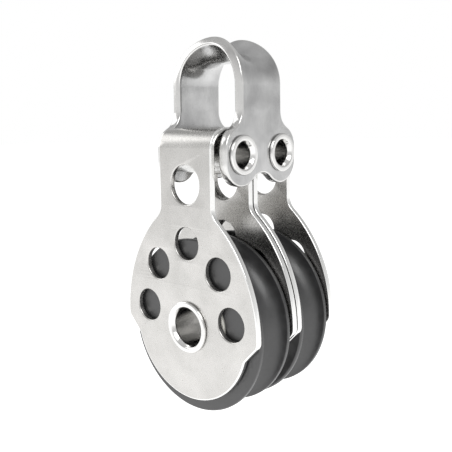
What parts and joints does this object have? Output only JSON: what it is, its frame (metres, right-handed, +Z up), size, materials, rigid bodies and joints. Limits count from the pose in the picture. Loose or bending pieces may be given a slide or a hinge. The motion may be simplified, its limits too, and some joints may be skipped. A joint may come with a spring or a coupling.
{
  "type": "double sheave block",
  "caption": "Rope block with sheaves side by side between perforated sheet-steel cheeks, hung from a fixed head eye with a dished crown.",
  "frame": {"origin": "the point on the inside of the head eye where a shackle or lashing bears, at the middle of the crown", "axes": "+Z up towards the crown of the eye, Y along the sheave axle and through the eye, X across the width of the cheeks"},
  "size_m": [0.0294, 0.0212, 0.0607],
  "materials": {
    "cheek_steel": "satin-polished stainless sheet with polished edges",
    "head_steel": "polished stainless sheet, bent and dished, with fine vertical draw marks",
    "rivet_steel": "bright polished stainless tube with rolled flanges",
    "sleeve_steel": "plain drawn stainless tube",
    "sheave_acetal": "black turned acetal with a soft sheen in the groove",
    "liner_acetal": "plain bearing plastic",
    "washer_nylon": "natural nylon"
  },
  "bodies": {
    "frame": {"head_strap": "head_steel", "axle_rivet": "rivet_steel", "strap_left": "cheek_steel", "strap_right": "cheek_steel", "hub_sleeve_left": "sleeve_steel", "hub_sleeve_right": "sleeve_steel", "thrust_washer_left_outer": "washer_nylon", "thrust_washer_left_inner": "washer_nylon", "thrust_washer_right_outer": "washer_nylon", "thrust_washer_right_inner": "washer_nylon", "head_rivet_left": "rivet_steel", "head_rivet_right": "rivet_steel", "head_sleeve_left": "sleeve_steel", "head_sleeve_right": "sleeve_steel"},
    "left_sheave": {"sheave_left": "sheave_acetal", "sheave_liner_left": "liner_acetal"},
    "right_sheave": {"sheave_right": "sheave_acetal", "sheave_liner_right": "liner_acetal"}
  },
  "joints": [
    {"name": "left_sheave_spin", "type": "hinge", "parent": "frame", "child": "left_sheave", "pos_m": [0, -0.00513, -0.04215], "axis": [0, 1, 0], "continuous": true},
    {"name": "right_sheave_spin", "type": "hinge", "parent": "frame", "child": "right_sheave", "pos_m": [0, 0.00513, -0.04215], "axis": [0, 1, 0], "continuous": true}
  ]
}
